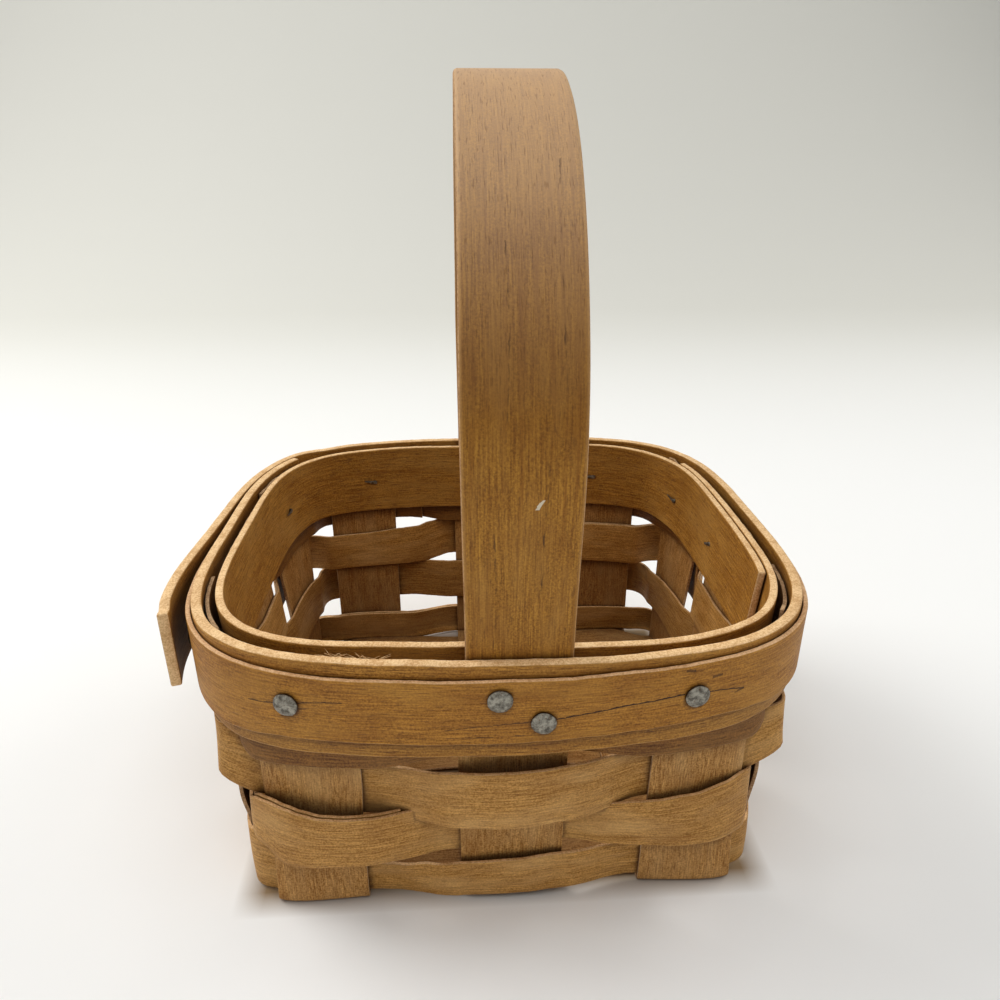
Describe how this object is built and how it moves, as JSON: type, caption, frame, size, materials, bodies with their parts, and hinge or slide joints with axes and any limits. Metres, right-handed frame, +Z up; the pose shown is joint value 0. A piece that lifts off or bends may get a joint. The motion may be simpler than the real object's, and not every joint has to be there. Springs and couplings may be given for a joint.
{
  "type": "woven splint basket with fixed handle",
  "caption": "Small square basket of woven wood splints, with nailed rim bands, a trim strip and a fixed bentwood handle arching from front to back.",
  "frame": {"origin": "centre of the underside, on the plane that the basket stands on", "axes": "+Z up to the handle's top, +X to the right and +Y to the back, with the handle's arch in the YZ plane"},
  "size_m": [0.1471, 0.135, 0.175],
  "materials": {
    "stave_wood": "dry, aged, unvarnished",
    "weaver_wood": "dry, aged, unvarnished",
    "band_wood": "dry, aged, unvarnished",
    "trim_wood": "dry, aged, unvarnished",
    "handle_wood": "smooth, aged, unvarnished",
    "tack_steel": "dull, hammered"
  },
  "bodies": {
    "root": {"stave_left": "stave_wood", "stave_centre": "stave_wood", "stave_right": "stave_wood", "cross_stave_front": "stave_wood", "cross_stave_middle": "stave_wood", "cross_stave_back": "stave_wood", "weaver_row_1": "weaver_wood", "weaver_row_2": "weaver_wood", "weaver_row_3": "weaver_wood", "weaver_row_4": "weaver_wood", "outer_band": "band_wood", "trim_strip": "trim_wood", "inner_band": "band_wood", "handle": "handle_wood", "tack_front_left": "tack_steel", "tack_front_handle_upper": "tack_steel", "tack_front_handle_lower": "tack_steel", "tack_front_right": "tack_steel", "tack_right_middle": "tack_steel", "tack_right_back": "tack_steel", "tack_back_right": "tack_steel", "tack_back_handle_upper": "tack_steel", "tack_back_handle_lower": "tack_steel", "tack_back_left": "tack_steel", "tack_left_back": "tack_steel", "tack_left_front": "tack_steel"}
  },
  "joints": []
}
